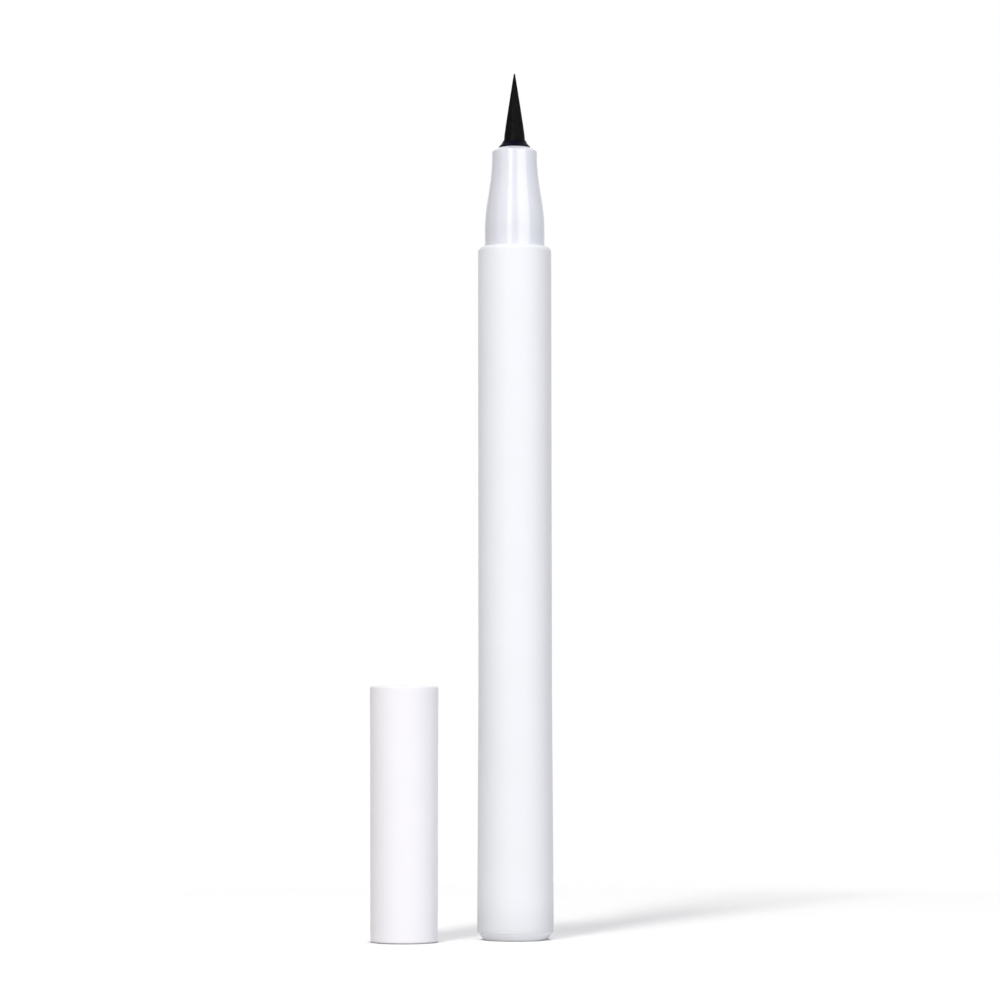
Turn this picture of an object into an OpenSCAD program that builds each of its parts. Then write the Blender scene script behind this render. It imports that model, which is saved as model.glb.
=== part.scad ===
// Liquid eyeliner pen with a brush tip, standing on its tail plug with its cap beside it.
// Millimetres, +Z up. The origin is the centre of the flat foot that the pen stands on.

/* [Barrel] */
// Length of the barrel tube, from the tail plug's foot to the shoulder
barrel_l = 97.5; // [85:0.5:110]
// Diameter of the barrel along its straight front part
barrel_d = 10.5; // [10:0.1:12]
// Wall of the barrel round the socket that takes the neck
barrel_wall = 1.13; // [0.9:0.01:1.2]
// How much the barrel's rear end is wider than its front part
barrel_flare = 0.4; // [0:0.1:1]
// Length of the rear part that widens
barrel_flare_l = 34; // [20:1:50]
// Rounding of the shoulder that the cap closes against
shoulder_round = 0.7; // [0.3:0.05:0.8]
// Depth of the socket in the barrel's front end
socket_l = 17; // [14:0.5:20]
// Ledge in the barrel that the ink collector's flange rests on
tank_ledge = 0.35; // [0.2:0.05:0.5]

/* [Tail plug] */
// Height of the foot that the pen stands on
foot_h = 1.4; // [1.3:0.1:3]
// Height of the bevel round the foot
foot_bevel_h = 1.2; // [0.4:0.1:1.3]
// How far the bevel cuts in from the side
foot_bevel_in = 0.98; // [0.3:0.01:1.2]
// Length of the spigot that closes the ink tank
spigot_l = 6; // [4:0.5:9]
// Wall of the spigot
spigot_wall = 0.8; // [0.5:0.1:1.2]

/* [Neck] */
// Length of the straight seat that holds the cap
seat_l = 4.2; // [3:0.1:5]
// Length of the cone above the seat
cone_l = 6; // [4:0.1:8]
// Diameter at the top of the cone
cone_top_d = 6.76; // [6.6:0.01:7.4]
// Length of the slight taper above the cone
taper_l = 2.1; // [1:0.1:4]
// Diameter of the nose
nose_d = 6.47; // [6.4:0.01:6.7]
// Length of the nose
nose_l = 2.15; // [1.5:0.05:4]
// Height of the bevel round the nose's end
nose_bevel_h = 0.65; // [0.3:0.05:1]
// Width of the flat land between that bevel and the brush holder
nose_land = 0.03; // [0.03:0.01:0.3]
// Wall of the neck's skirt, round the ink collector
neck_wall = 0.7; // [0.6:0.05:1]

/* [Brush] */
// Diameter of the brush where it leaves its holder
brush_d = 3.16; // [2.4:0.02:3.2]
// Length of the brush that stands out of its holder
brush_l = 9.75; // [7:0.05:13]
// Length of the brush's root inside the holder
brush_root_l = 8; // [5:0.5:8.5]
// Rings of bristles round the middle, which makes 396 bristles at 11 rings
bristle_rings = 11; // [10:1:12]
// Diameter of the brush holder, which shows as a black collar on the nose
holder_d = 4.5; // [4.3:0.02:4.6]
// Height of the holder's collar above the nose
collar_h = 0.9; // [0.6:0.05:2]

/* [Ink feed] */
// Diameter of the fibre rod that leads the ink to the brush
feed_rod_d = 1.5; // [1:0.1:1.8]
// Length of the rod that dips into the ink tank
feed_dip = 4; // [2:0.5:8]
// Number of fins on the ink collector
fins = 20; // [10:1:24]
// Thickness of a fin
fin_t = 0.4; // [0.3:0.05:0.5]
// Diameter of the ball that stirs the ink
ball_d = 3.2; // [2:0.1:4]

/* [Cap] */
// Length of the cap
cap_l = 36; // [34:0.5:45]
// Wall of the cap at its mouth
cap_wall = 0.405; // [0.4:0.005:0.8]
// How much the cap's radius grows from its mouth to its closed end
cap_spread = 0.095; // [0:0.005:0.15]
// Thickness of the cap's closed end
cap_end_t = 0.9; // [0.6:0.1:1.5]
// Rounding of the cap's closed end
cap_round = 0.35; // [0.1:0.05:0.4]
// Distance from the pen to the cap beside it, to the left
cap_left = 15.7; // [12:0.1:40]
// Distance that the cap stands in front of the pen
cap_front = 5.3; // [0:0.1:12]

/* [Inner cap] */
// Wall of the inner cap that seals the neck's nose
inner_cap_wall = 0.6; // [0.5:0.05:0.65]
// How far the nose pushes the inner cap up when the cap is fitted
inner_cap_push = 1.3; // [0.8:0.1:1.5]
// Travel of the inner cap against its spring
inner_cap_travel = 2; // [1.6:0.1:3]
// Diameter of the spring's wire
spring_wire_d = 0.4; // [0.3:0.05:0.5]
// Turns of the spring
spring_turns = 6; // [4:1:7]

/* [Hidden] */
$fn = 96;

// Clearances, each on the radius, and the overrun of every cut
push_fit = 0.02;
slide_fit = 0.05;
rest_gap = 0.02;
overrun = 0.5;

// Barrel and ink tank
barrel_r = barrel_d / 2;
foot_r = barrel_r + barrel_flare / 2;
shoulder_z = foot_h + barrel_l;
socket_r = barrel_r - barrel_wall;
socket_z = shoulder_z - socket_l;
tank_r = socket_r - tank_ledge;

// Tail plug: the spigot is a cup that opens into the tank, with two sealing beads
bead_r = 0.3;
spigot_relief = 0.15;
spigot_r = tank_r - spigot_relief;
cup_r = spigot_r - spigot_wall;
bead_place_shares = [0.35, 0.75];

// Neck: its skirt fills the socket, its seat for the cap stands on the barrel's end, and
// its inner step stops the brush holder
seat_step = 0.2;
skirt_r = socket_r - push_fit;
neck_r = skirt_r + seat_step;
skirt_bore_r = skirt_r - neck_wall;
flange_t = 1.2;
skirt_z = socket_z + flange_t;
seat_top_z = shoulder_z + seat_l;
cone_top_z = seat_top_z + cone_l;
nose_z = cone_top_z + taper_l;
nose_top_z = nose_z + nose_l;
step_above_seat = 0.8;
step_z = seat_top_z + step_above_seat;
holder_bore_r = holder_d / 2 + push_fit;
nose_rim_r = holder_bore_r + nose_land;

// Brush holder: a sleeve with a flange at its rear end
holder_r = holder_d / 2;
holder_flange_t = 1;
holder_bottom_z = step_z - holder_flange_t;
collar_edge_h = 0.2;
collar_waist_share = 0.5;
lip_t = 0.05;
collar_waist_t = 0.26;
collar_top_z = nose_top_z + collar_h;

// Brush: bristles that rise from a welded root with a flange
brush_r = brush_d / 2;
brush_bore_r = brush_r + slide_fit;
root_flange_out = 0.18;
root_flange_t = 0.8;
root_flange_r = brush_r + root_flange_out;
slice_drop = 0.15;
bristle_z = collar_top_z - slice_drop;
brush_tip_z = collar_top_z + brush_l;
root_top_z = collar_top_z - brush_root_l;
root_z = root_top_z - root_flange_t;

// Where bristles end on their way to the point they all lean towards
top_share = 0.93;
trim_share = 0.3;
trim_power = 6;
ragged_share = 0.05;
taper_share = 0.72;
thin_share = 0.86;
ragged_seed = 7;
meeting_z = bristle_z + (brush_tip_z - bristle_z) / top_share;

// Ink feed
feed_rod_r = feed_rod_d / 2;
feed_bottom_z = socket_z - feed_dip;
rod_nose_h = 0.4;
rod_nose_in = 0.25;
spine_wall = 0.8;
spine_bore_r = feed_rod_r + slide_fit;
spine_r = spine_bore_r + spine_wall;
fin_r = skirt_bore_r - slide_fit;
comb_margin = 0.5;
comb_z = skirt_z + comb_margin;
comb_top_z = holder_bottom_z - comb_margin;
fin_pitch = (comb_top_z - comb_z - fin_t) / (fins - 1);
slot_w = 0.5;
ball_r = ball_d / 2;
ball_z = foot_h + rest_gap + ball_r;

// Cap: its own heights are counted from its mouth, which stands on the floor
cap_bore_r = neck_r + slide_fit;
cap_mouth_r = cap_bore_r + cap_wall;
cap_top_r = cap_mouth_r + cap_spread;
mouth_round = 0.3;
mouth_seat_extra = 1.6;
mouth_seat_l = seat_l + mouth_seat_extra;
guide_step = 0.2;
guide_r = cap_bore_r - guide_step;
cap_waist_l = 9;
cap_waist_share = 0.37;
cap_inner_top = cap_l - cap_end_t;

// Inner cap: its rim meets the neck's cone when the cap is fitted
seal_fit = 0.02;
cone_slope = (neck_r - cone_top_d / 2) / cone_l;
seal_r = cone_top_d / 2 + seal_fit;
seal_h = seat_l + cone_l - seal_fit / cone_slope;
rim_h = seal_h - inner_cap_push;
rim_flange_t = 1.2;
rim_flange_r = guide_r - slide_fit;
seal_l = 3.2;
chamber_step = 0.2;
chamber_r = nose_d / 2 - chamber_step;
tip_room = 0.9;
brush_reach = brush_tip_z - shoulder_z;
chamber_top = brush_reach + tip_room;
inner_cap_top = chamber_top + inner_cap_wall;
stop_bead_in = 0.18;
stop_bead_l = 0.4;

// Spring between the inner cap and the cap's closed end. A peg on each centres it, and
// the two pegs meet where the inner cap's travel ends.
spring_r = 2.2;
spring_wire_r = spring_wire_d / 2;
spring_low = inner_cap_top + rest_gap + spring_wire_r;
spring_high = cap_inner_top - rest_gap - spring_wire_r;
spring_pitch = (spring_high - spring_low) / spring_turns;
peg_r = spring_r - spring_wire_r - slide_fit * 4;
peg_l = (cap_inner_top - inner_cap_top - inner_cap_travel - rest_gap) / 2;
rings_per_turn = 16;
wire_sides = 6;

// A ring of points on a circle, level at height z
function circle_points(r, z, count) =
    [for (i = [0 : count - 1]) [r * cos(360 * i / count), r * sin(360 * i / count), z]];

// Bristles stand on a net of rings, where ring k has 6k points
rim_count = 6 * bristle_rings;
net_count = 1 + 3 * bristle_rings * (bristle_rings + 1);
function net_at(k, i) = k == 0 ? 0 : 1 + 3 * k * (k - 1) + (i % (6 * k));
net_points = concat(
    [[0, 0, bristle_z]],
    [for (k = [1 : bristle_rings])
        each circle_points(brush_r * k / bristle_rings, bristle_z, 6 * k)]
);
bristle_feet = [for (k = [1 : bristle_rings], s = [0 : 5], j = [0 : k - 1])
    [net_at(k, s * k + j), net_at(k, s * k + j + 1), net_at(k - 1, s * (k - 1) + j)]];
gaps_between = [for (k = [2 : bristle_rings], s = [0 : 5], j = [0 : k - 2])
    [net_at(k - 1, s * (k - 1) + j), net_at(k - 1, s * (k - 1) + j + 1), net_at(k, s * k + j + 1)]];

// A foot's middle, and a point carried from the net towards the meeting point by a share t
function foot_middle(f) = (net_points[f[0]] + net_points[f[1]] + net_points[f[2]]) / 3;
function carried(p, t) =
    [p[0] * (1 - t), p[1] * (1 - t), bristle_z + (meeting_z - bristle_z) * t];
bristle_count = len(bristle_feet);
ragged = rands(0, ragged_share, bristle_count, ragged_seed);
first_reach = norm([foot_middle(bristle_feet[0])[0], foot_middle(bristle_feet[0])[1]]) / brush_r;
function reach_of(f) = norm([foot_middle(f)[0], foot_middle(f)[1]]) / brush_r;
function end_share(n) =
    let (reach = reach_of(bristle_feet[n]))
    reach <= first_reach * (1 + trim_share)
        ? top_share
        : top_share - trim_share * pow(reach, trim_power) - ragged[n];

module brush() {
    wall_z = [root_top_z, root_top_z, root_z];
    wall_r = [brush_r, root_flange_r, root_flange_r];
    wall_points = [for (w = [0 : 2]) each circle_points(wall_r[w], wall_z[w], rim_count)];
    bend_points = [for (n = [0 : bristle_count - 1])
        let (t = end_share(n) * taper_share, m = foot_middle(bristle_feet[n]))
        each [for (v = bristle_feet[n]) carried(m + (net_points[v] - m) * thin_share, t)]];
    end_points = [for (n = [0 : bristle_count - 1])
        carried(foot_middle(bristle_feet[n]), end_share(n))];
    rim_start = net_count - rim_count;
    bend_start = net_count + 3 * rim_count + 1;
    end_start = bend_start + 3 * bristle_count;
    bottom = net_count + 3 * rim_count;
    wall_faces = [for (w = [0 : 2], i = [0 : rim_count - 1])
        let (
            up = (w == 0 ? rim_start : net_count + (w - 1) * rim_count),
            low = net_count + w * rim_count,
            next = (i + 1) % rim_count
        )
        each [[up + i, low + next, low + i], [up + i, up + next, low + next]]];
    bottom_faces = [for (i = [0 : rim_count - 1])
        let (low = net_count + 2 * rim_count)
        [low + i, low + (i + 1) % rim_count, bottom]];
    bristle_faces = [for (n = [0 : bristle_count - 1], e = [0 : 2])
        let (
            f = bristle_feet[n],
            g = (e + 1) % 3,
            a = bend_start + 3 * n + e,
            b = bend_start + 3 * n + g
        )
        each [[f[e], b, f[g]], [f[e], a, b], [a, end_start + n, b]]];
    color("black")
        polyhedron(
            points = concat(net_points, wall_points, [[0, 0, root_z]], bend_points, end_points),
            faces = concat(gaps_between, wall_faces, bottom_faces, bristle_faces)
        );
}

// A disc outline corner rounded by a circle, for turned shapes
module rounded_corner(r, z, round) {
    translate([r - round, z - round])
        circle(r = round);
}

module barrel() {
    color("white")
        difference() {
            rotate_extrude() {
                polygon([
                    [0, foot_h],
                    [foot_r, foot_h],
                    [barrel_r, foot_h + barrel_flare_l],
                    [barrel_r, shoulder_z - shoulder_round],
                    [barrel_r - shoulder_round, shoulder_z],
                    [0, shoulder_z],
                ]);
                rounded_corner(barrel_r, shoulder_z, shoulder_round);
            }
            translate([0, 0, foot_h - overrun])
                cylinder(r = tank_r, h = barrel_l + overrun);
            translate([0, 0, socket_z])
                cylinder(r = socket_r, h = socket_l + overrun);
        }
}

module tail_plug() {
    color("white")
        rotate_extrude() {
            polygon([
                [0, 0],
                [foot_r - foot_bevel_in, 0],
                [foot_r, foot_bevel_h],
                [foot_r, foot_h],
                [0, foot_h],
            ]);
            translate([cup_r, 0])
                square([spigot_wall, foot_h + spigot_l]);
            for (share = bead_place_shares)
                translate([tank_r - push_fit - bead_r, foot_h + spigot_l * share])
                    circle(r = bead_r);
        }
}

module neck() {
    color("white")
        difference() {
            rotate_extrude()
                polygon([
                    [0, skirt_z],
                    [skirt_r, skirt_z],
                    [skirt_r, shoulder_z],
                    [neck_r, shoulder_z],
                    [neck_r, seat_top_z],
                    [cone_top_d / 2, cone_top_z],
                    [nose_d / 2, nose_z],
                    [nose_d / 2, nose_top_z - nose_bevel_h],
                    [nose_rim_r, nose_top_z],
                    [0, nose_top_z],
                ]);
            translate([0, 0, skirt_z - overrun])
                cylinder(r = skirt_bore_r, h = step_z - skirt_z + overrun);
            translate([0, 0, step_z - overrun])
                cylinder(r = holder_bore_r, h = nose_top_z - step_z + 2 * overrun);
        }
}

module brush_holder() {
    color("black")
        difference() {
            rotate_extrude()
                polygon([
                    [0, holder_bottom_z],
                    [skirt_bore_r - slide_fit, holder_bottom_z],
                    [skirt_bore_r - slide_fit, step_z],
                    [holder_r, step_z],
                    [holder_r, nose_top_z + collar_edge_h],
                    [
                        brush_bore_r + collar_waist_t,
                        nose_top_z + collar_edge_h
                            + (collar_h - collar_edge_h) * collar_waist_share
                    ],
                    [brush_bore_r + lip_t, collar_top_z],
                    [0, collar_top_z],
                ]);
            translate([0, 0, root_top_z])
                cylinder(r = brush_bore_r, h = collar_top_z - root_top_z + overrun);
            translate([0, 0, holder_bottom_z - overrun])
                cylinder(
                    r = root_flange_r + slide_fit,
                    h = root_top_z - holder_bottom_z + overrun
                );
        }
}

module feed_rod() {
    color("lightgray")
        rotate_extrude()
            polygon([
                [0, feed_bottom_z],
                [feed_rod_r - rod_nose_in, feed_bottom_z],
                [feed_rod_r, feed_bottom_z + rod_nose_h],
                [feed_rod_r, root_z],
                [0, root_z],
            ]);
}

module ink_collector() {
    color("whitesmoke")
        difference() {
            rotate_extrude() {
                translate([spine_bore_r, socket_z])
                    square([spine_wall, holder_bottom_z - socket_z]);
                translate([spine_bore_r, socket_z])
                    square([socket_r - push_fit - spine_bore_r, flange_t]);
                for (i = [0 : fins - 1])
                    translate([spine_bore_r, comb_z + i * fin_pitch])
                        square([fin_r - spine_bore_r, fin_t]);
            }
            translate([spine_r, -slot_w / 2, comb_z - comb_margin / 2])
                cube([fin_r - spine_r + overrun, slot_w, comb_top_z - comb_z + comb_margin]);
        }
}

module mixing_ball() {
    color("silver")
        translate([0, 0, ball_z])
            sphere(r = ball_r);
}

// Everything of the cap stands on its own axis, beside the pen
module beside_pen() {
    translate([-cap_left, -cap_front, 0])
        children();
}

module cap_shell() {
    color("white")
        beside_pen() {
            difference() {
                rotate_extrude() {
                    polygon([
                        [0, 0],
                        [cap_mouth_r - mouth_round, 0],
                        [cap_mouth_r, mouth_round],
                        [cap_mouth_r + cap_spread * cap_waist_share, cap_l - cap_waist_l],
                        [cap_top_r, cap_l - cap_round],
                        [cap_top_r - cap_round, cap_l],
                        [0, cap_l],
                    ]);
                    rounded_corner(cap_top_r, cap_l, cap_round);
                    rounded_corner(cap_mouth_r, 2 * mouth_round, mouth_round);
                }
                translate([0, 0, -overrun])
                    cylinder(r = cap_bore_r, h = mouth_seat_l + overrun);
                rotate_extrude()
                    polygon([
                        [0, mouth_seat_l - overrun],
                        [guide_r, mouth_seat_l - overrun],
                        [guide_r, rim_h - 2 * stop_bead_l],
                        [guide_r - stop_bead_in, rim_h - stop_bead_l],
                        [guide_r - stop_bead_in, rim_h],
                        [guide_r, rim_h],
                        [guide_r, cap_inner_top],
                        [0, cap_inner_top],
                    ]);
            }
            translate([0, 0, cap_inner_top - peg_l])
                cylinder(r = peg_r, h = peg_l + cap_end_t / 2);
        }
}

module inner_cap() {
    color("gainsboro")
        beside_pen() {
            difference() {
                rotate_extrude()
                    polygon([
                        [0, rim_h],
                        [rim_flange_r, rim_h],
                        [rim_flange_r, rim_h + rim_flange_t],
                        [seal_r + inner_cap_wall, rim_h + rim_flange_t],
                        [seal_r + inner_cap_wall, rim_h + seal_l + inner_cap_wall],
                        [chamber_r + inner_cap_wall, rim_h + seal_l + inner_cap_wall],
                        [chamber_r + inner_cap_wall, inner_cap_top],
                        [0, inner_cap_top],
                    ]);
                translate([0, 0, rim_h - overrun])
                    cylinder(r = seal_r, h = seal_l + overrun);
                translate([0, 0, rim_h])
                    cylinder(r = chamber_r, h = chamber_top - rim_h);
            }
            translate([0, 0, inner_cap_top - inner_cap_wall / 2])
                cylinder(r = peg_r, h = peg_l + inner_cap_wall / 2);
        }
}

// One unbroken wire, swept along a helix
module inner_cap_spring() {
    steps = spring_turns * rings_per_turn;
    points = [for (i = [0 : steps], j = [0 : wire_sides - 1])
        let (
            turn = 360 * i / rings_per_turn,
            round = 360 * j / wire_sides,
            r = spring_r + spring_wire_r * cos(round)
        )
        [
            r * cos(turn),
            r * sin(turn),
            spring_low + spring_pitch * i / rings_per_turn + spring_wire_r * sin(round)
        ]];
    sides = [for (i = [0 : steps - 1], j = [0 : wire_sides - 1])
        let (
            a = i * wire_sides + j,
            b = i * wire_sides + (j + 1) % wire_sides
        )
        each [[a, a + wire_sides, b], [b, a + wire_sides, b + wire_sides]]];
    first_end = [for (j = [1 : wire_sides - 2]) [0, j, j + 1]];
    last = steps * wire_sides;
    last_end = [for (j = [1 : wire_sides - 2]) [last, last + j + 1, last + j]];
    color("silver")
        beside_pen()
            polyhedron(points = points, faces = concat(sides, first_end, last_end));
    turn_gaps = [for (i = [0 : steps - rings_per_turn])
        norm(points[(i + rings_per_turn) * wire_sides] - points[i * wire_sides]) - spring_wire_d];
    echo("Least gap between the spring's turns", min(turn_gaps));
}

barrel();
tail_plug();
neck();
brush_holder();
brush();
feed_rod();
ink_collector();
mixing_ball();
cap_shell();
inner_cap();
inner_cap_spring();
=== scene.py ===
# %% [markdown]
# # A brush-tip eyeliner pen and its cap
#
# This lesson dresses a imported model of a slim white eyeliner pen. The pen stands on its foot,
# and its cap stands beside it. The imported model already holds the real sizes, and it says
# what moves with what. Here each visible piece is modelled again with soft moulded edges,
# gets its finish, and is put under plain studio light on a pale floor.

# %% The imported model
import bmesh
import bpy
import math
import random
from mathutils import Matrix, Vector


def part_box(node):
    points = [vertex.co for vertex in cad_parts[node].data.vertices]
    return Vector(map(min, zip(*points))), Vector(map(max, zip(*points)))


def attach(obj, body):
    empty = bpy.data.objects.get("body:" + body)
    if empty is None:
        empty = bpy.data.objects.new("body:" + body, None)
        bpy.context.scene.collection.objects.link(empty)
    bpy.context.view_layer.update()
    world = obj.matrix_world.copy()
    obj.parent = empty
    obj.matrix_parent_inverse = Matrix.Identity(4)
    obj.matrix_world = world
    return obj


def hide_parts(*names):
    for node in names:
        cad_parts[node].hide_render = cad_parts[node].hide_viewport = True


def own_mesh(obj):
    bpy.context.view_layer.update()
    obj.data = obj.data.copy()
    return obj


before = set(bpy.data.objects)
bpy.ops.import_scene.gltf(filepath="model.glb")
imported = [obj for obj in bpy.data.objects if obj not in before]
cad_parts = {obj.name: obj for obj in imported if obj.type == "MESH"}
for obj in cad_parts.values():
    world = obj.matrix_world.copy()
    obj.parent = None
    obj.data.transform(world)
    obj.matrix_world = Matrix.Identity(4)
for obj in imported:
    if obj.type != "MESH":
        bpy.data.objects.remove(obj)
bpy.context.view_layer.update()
print("nodes:", sorted(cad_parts))

# %% [markdown]
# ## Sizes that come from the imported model
#
# Blender counts in metres, and a pen is easier to think about in millimetres, so a short name
# for one millimetre keeps the numbers readable. The ends and the widest radius of each piece are
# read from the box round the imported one, so the new piece sits where the old one does. A box
# doesn't show what lies inside it, so bores, steps and bevels have named sizes of their own.

# %% Millimetres, axes and boxes
MM = 0.001
PEN_AXIS = Vector((0, 0, 0))
cap_low, cap_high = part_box("cap_shell")
CAP_AXIS = Vector(((cap_low.x + cap_high.x) / 2, (cap_low.y + cap_high.y) / 2, 0))


def heights(node):
    """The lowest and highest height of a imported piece, and its outer radius."""
    low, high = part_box(node)
    # A packed round is a hair wider along x than along y, and nothing may stand out of it.
    return low.z, high.z, min(high.x - low.x, high.y - low.y) / 2


barrel_rear, shoulder, rear_r = heights("barrel")
print("barrel from", round(barrel_rear / MM, 2), "to", round(shoulder / MM, 2), "mm")

# %% [markdown]
# ## Turning a piece from a circle
#
# Nearly everything on a pen is round, as if it came off a lathe. One way to model that is to
# draw half of the outline and spin it. Another is to begin with a circle, extrude it ring by
# ring and scale each new ring about the axis. The second way needs no joining at the end and
# keeps every ring exactly level, so it is used here. A piece that is solid at its ends begins
# with a filled circle. A tube begins with an empty one, goes up the outside and down the
# inside, and its last ring is merged with its first.

# %% A turned piece
ROUND_STEPS = 128
MERGE_DISTANCE = 0.0005 * MM


def turned(name, outline, axis, tube=False):
    """Turns an outline of (radius, height) pairs about an upright axis."""
    bpy.ops.object.select_all(action="DESELECT")
    radius, height = outline[0]
    bpy.ops.mesh.primitive_circle_add(
        vertices=ROUND_STEPS,
        radius=radius,
        fill_type="NOTHING" if tube else "NGON",
        location=(axis.x, axis.y, height),
    )
    piece = bpy.context.object
    piece.name = name
    piece.data.name = name
    bpy.ops.object.transform_apply(location=True, rotation=True, scale=True)
    bpy.ops.object.mode_set(mode="EDIT")
    bpy.ops.mesh.select_all(action="SELECT")
    for next_radius, next_height in outline[1:] + (outline[:1] if tube else []):
        bpy.ops.mesh.extrude_region_move(
            TRANSFORM_OT_translate={"value": (0, 0, next_height - height)}
        )
        widen = next_radius / radius
        bpy.ops.transform.resize(
            value=(widen, widen, 1), center_override=(axis.x, axis.y, next_height)
        )
        radius, height = next_radius, next_height
    bpy.ops.mesh.select_all(action="SELECT")
    bpy.ops.mesh.remove_doubles(threshold=MERGE_DISTANCE)
    bpy.ops.mesh.normals_make_consistent(inside=False)
    bpy.ops.object.mode_set(mode="OBJECT")
    return piece


# %% [markdown]
# ## Rounded edges
#
# No moulded edge is perfectly sharp. A round that shows, such as the shoulder of the barrel,
# is made where the edge is picked by its place and bevelled at its real size. All the other
# edges get one fine bevel from a modifier that looks for sharp angles. At the end the normals
# are weighted by area, so that flat faces and straight walls keep a flat look beside a bevel.

# %% Bevels and smooth shading
EDGE_ROUND = 0.05 * MM
EDGE_SEGMENTS = 2
SHARP_ANGLE = math.radians(30)
PLACE_SLACK = 0.004 * MM
AREA_WEIGHT = 50


def round_ring(piece, axis, ring, size, segments):
    """Bevels the ring of edges that lies at (radius, height)."""
    radius, height = ring
    bpy.ops.object.mode_set(mode="EDIT")
    bpy.ops.mesh.select_mode(type="EDGE")
    bpy.ops.mesh.select_all(action="DESELECT")
    mesh = bmesh.from_edit_mesh(piece.data)
    for edge in mesh.edges:
        edge.select = all(
            abs((v.co - axis).xy.length - radius) < PLACE_SLACK
            and abs(v.co.z - height) < PLACE_SLACK
            for v in edge.verts
        )
    bmesh.update_edit_mesh(piece.data)
    bpy.ops.mesh.bevel(offset=size, segments=segments, affect="EDGES")
    bpy.ops.object.mode_set(mode="OBJECT")


def soften(piece, edge_round=EDGE_ROUND):
    """Rounds what is still sharp and shades the piece smoothly."""
    bevel = piece.modifiers.new("moulded edges", "BEVEL")
    bevel.width = edge_round
    bevel.segments = EDGE_SEGMENTS
    bevel.limit_method = "ANGLE"
    bevel.angle_limit = SHARP_ANGLE
    bpy.ops.object.modifier_apply(modifier=bevel.name)
    bpy.ops.object.shade_smooth()
    weighted = piece.modifiers.new("weighted normals", "WEIGHTED_NORMAL")
    weighted.weight = AREA_WEIGHT
    bpy.ops.object.modifier_apply(modifier=weighted.name)


# %% [markdown]
# A finished piece then stands in for a packed one. It rides on the body that moves the packed
# piece, and the imported piece it replaces is hidden.

# %% Taking the place of a imported piece


def settle(piece, body, slot, *nodes):
    """Lets a finished piece stand for packed ones on their body, and hides them. The slot is not
    used.
    """
    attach(piece, body)
    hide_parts(*nodes)
    levels = [round(vertex.co.z / MM, 2) for vertex in piece.data.vertices]
    print(piece.name, len(piece.data.polygons), "faces,", min(levels), "to", max(levels), "mm")


# %% [markdown]
# ## The barrel
#
# The barrel is a long satin tube that holds the ink. It is straight in front and widens by
# less than half a millimetre towards the rear. Its front end has a socket for the neck, and
# below that a narrower bore, which is the ink tank. The shoulder has a round that catches the
# light, so it gets a bevel of its own with ten segments.

# %% Barrel
BARREL_R = 5.25 * MM
FLARE_LENGTH = 34 * MM
SOCKET_R = 4.12 * MM
SOCKET_DEPTH = 17 * MM
TANK_R = 3.77 * MM
SHOULDER_ROUND = 0.7 * MM

barrel = turned(
    "barrel_tube",
    [
        (rear_r, barrel_rear),
        (BARREL_R, barrel_rear + FLARE_LENGTH),
        (BARREL_R, shoulder),
        (SOCKET_R, shoulder),
        (SOCKET_R, shoulder - SOCKET_DEPTH),
        (TANK_R, shoulder - SOCKET_DEPTH),
        (TANK_R, barrel_rear),
    ],
    PEN_AXIS,
    tube=True,
)
round_ring(barrel, PEN_AXIS, (BARREL_R, shoulder), SHOULDER_ROUND, segments=10)
soften(barrel)
settle(barrel, "pen", "barrel_plastic", "barrel")

# %% [markdown]
# ## The tail plug
#
# The plug closes the tank from behind. What shows is its bevelled foot, whose upper corner gets
# a small round. Inside the barrel its spigot is a cup with two sealing beads, each an arc that
# swells out of the straight wall. The arc's points come from a formula, so the bead stays round
# whatever its size.

# %% Tail plug
FOOT_FLAT_R = 4.47 * MM
FOOT_BEVEL_H = 1.2 * MM
FOOT_ROUND = 0.18 * MM
SPIGOT_R = 3.62 * MM
CUP_R = 2.82 * MM
BEAD_R = 0.3 * MM
BEAD_MIDDLE_R = 3.45 * MM
BEAD_SHARES = (0.35, 0.75)
plug_low, plug_top, foot_r = heights("tail_plug")


def bead(height, points=6):
    """The arc of a sealing bead where it stands out of the spigot's wall."""
    reach = math.acos((SPIGOT_R - BEAD_MIDDLE_R) / BEAD_R)
    turns = [reach * (2 * i / points - 1) for i in range(points + 1)]
    return [(BEAD_MIDDLE_R + BEAD_R * math.cos(t), height + BEAD_R * math.sin(t)) for t in turns]


spigot_l = plug_top - barrel_rear
bead_rings = [ring for share in BEAD_SHARES for ring in bead(barrel_rear + spigot_l * share)]
plug = turned(
    "tail_plug_foot",
    [
        (FOOT_FLAT_R, plug_low),
        (foot_r, FOOT_BEVEL_H),
        (foot_r, barrel_rear),
        (SPIGOT_R, barrel_rear),
        *bead_rings,
        (SPIGOT_R, plug_top),
        (CUP_R, plug_top),
        (CUP_R, barrel_rear),
    ],
    PEN_AXIS,
)
round_ring(plug, PEN_AXIS, (foot_r, FOOT_BEVEL_H), FOOT_ROUND, segments=4)
soften(plug)
settle(plug, "pen", "barrel_plastic", "tail_plug")

# %% [markdown]
# ## The neck
#
# The neck is the glossy front section. A skirt, hidden in the barrel, carries a straight seat
# that holds the cap. Above the seat a cone runs up to the nose, which ends in a bright bevel.
# Seat, cone and nose flow into each other in the mould, so the two blunt corners between them
# get wide bevels of many segments instead of crisp ones.

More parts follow.
